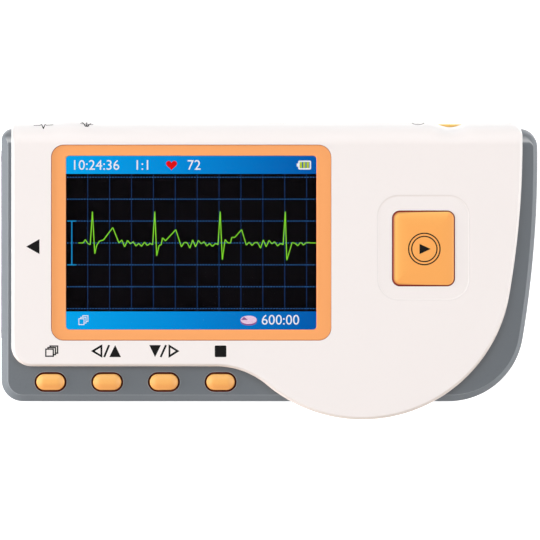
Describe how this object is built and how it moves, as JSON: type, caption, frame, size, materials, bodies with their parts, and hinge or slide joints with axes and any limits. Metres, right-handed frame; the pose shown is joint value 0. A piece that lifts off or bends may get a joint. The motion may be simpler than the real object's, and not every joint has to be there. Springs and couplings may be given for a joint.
{
  "type": "ecg home monitor",
  "caption": "Hand-held heart rhythm monitor with a colour display, oval keys, a large measuring button, metal electrode plates and a sliding battery door.",
  "frame": {"origin": "on the back face, under the middle of the whole part", "axes": "+X to the right end as the display is read, +Y to the top edge, +Z out of the front face"},
  "size_m": [0.1252, 0.0698, 0.0203],
  "materials": {
    "white_cover": "satin",
    "grey_case": "fine matt",
    "orange_trim": "satin gloss",
    "orange_key": "soft satin",
    "clear_lens": "clear polished",
    "display_glass": "polished",
    "pale_plastic": "satin",
    "amber_film": "film",
    "green_board": "solder mask",
    "black_plastic": "moulded",
    "tinned_steel": "tinned",
    "electrode_steel": "brushed",
    "gold_contact": "gold plated",
    "cell_wrap": "film wrap",
    "screw_steel": "zinc plated"
  },
  "bodies": {
    "housing": {"front_cover": "white_cover", "front_frame": "grey_case", "rear_case": "grey_case", "lens_border": "orange_trim", "display_lens": "clear_lens", "lcd_panel": "display_glass", "lcd_backlight": "pale_plastic", "lcd_tray": "pale_plastic", "lcd_ribbon": "amber_film", "main_board": "green_board", "key_switches": "black_plastic", "measure_switch": "black_plastic", "power_switch": "black_plastic", "lcd_connector": "pale_plastic", "processor_chip": "black_plastic", "board_chips": "black_plastic", "amplifier_shield": "tinned_steel", "clock_crystal": "tinned_steel", "buzzer": "black_plastic", "lead_socket": "tinned_steel", "left_electrode": "electrode_steel", "finger_electrode": "electrode_steel", "palm_electrode": "electrode_steel", "electrode_springs": "gold_contact", "side_contact": "gold_contact", "battery_cells": "cell_wrap", "battery_springs": "tinned_steel", "battery_plates": "tinned_steel", "case_screws": "screw_steel", "board_screws": "screw_steel"},
    "menu_key_body": {"menu_key": "orange_key"},
    "left_up_key_body": {"left_up_key": "orange_key"},
    "right_down_key_body": {"right_down_key": "orange_key"},
    "stop_key_body": {"stop_key": "orange_key"},
    "measure_button_body": {"measure_button": "orange_key"},
    "power_button_body": {"power_button": "orange_key"},
    "battery_door_body": {"battery_door": "grey_case"}
  },
  "joints": [
    {"name": "menu_key_press", "type": "slide", "parent": "housing", "child": "menu_key_body", "axis": [0, 0, -1], "range_m": [0, 0.0005], "stiffness_N_per_m": 400, "springref_m": -0.001},
    {"name": "left_up_key_press", "type": "slide", "parent": "housing", "child": "left_up_key_body", "axis": [0, 0, -1], "range_m": [0, 0.0005], "stiffness_N_per_m": 400, "springref_m": -0.001},
    {"name": "right_down_key_press", "type": "slide", "parent": "housing", "child": "right_down_key_body", "axis": [0, 0, -1], "range_m": [0, 0.0005], "stiffness_N_per_m": 400, "springref_m": -0.001},
    {"name": "stop_key_press", "type": "slide", "parent": "housing", "child": "stop_key_body", "axis": [0, 0, -1], "range_m": [0, 0.0005], "stiffness_N_per_m": 400, "springref_m": -0.001},
    {"name": "measure_button_press", "type": "slide", "parent": "housing", "child": "measure_button_body", "axis": [0, 0, -1], "range_m": [0, 0.0006], "stiffness_N_per_m": 400, "springref_m": -0.001},
    {"name": "power_button_press", "type": "slide", "parent": "housing", "child": "power_button_body", "axis": [0, -1, 0], "range_m": [0, 0.0006], "stiffness_N_per_m": 400, "springref_m": -0.001},
    {"name": "battery_door_slide", "type": "slide", "parent": "housing", "child": "battery_door_body", "axis": [0, -1, 0], "range_m": [0, 0.028]}
  ]
}
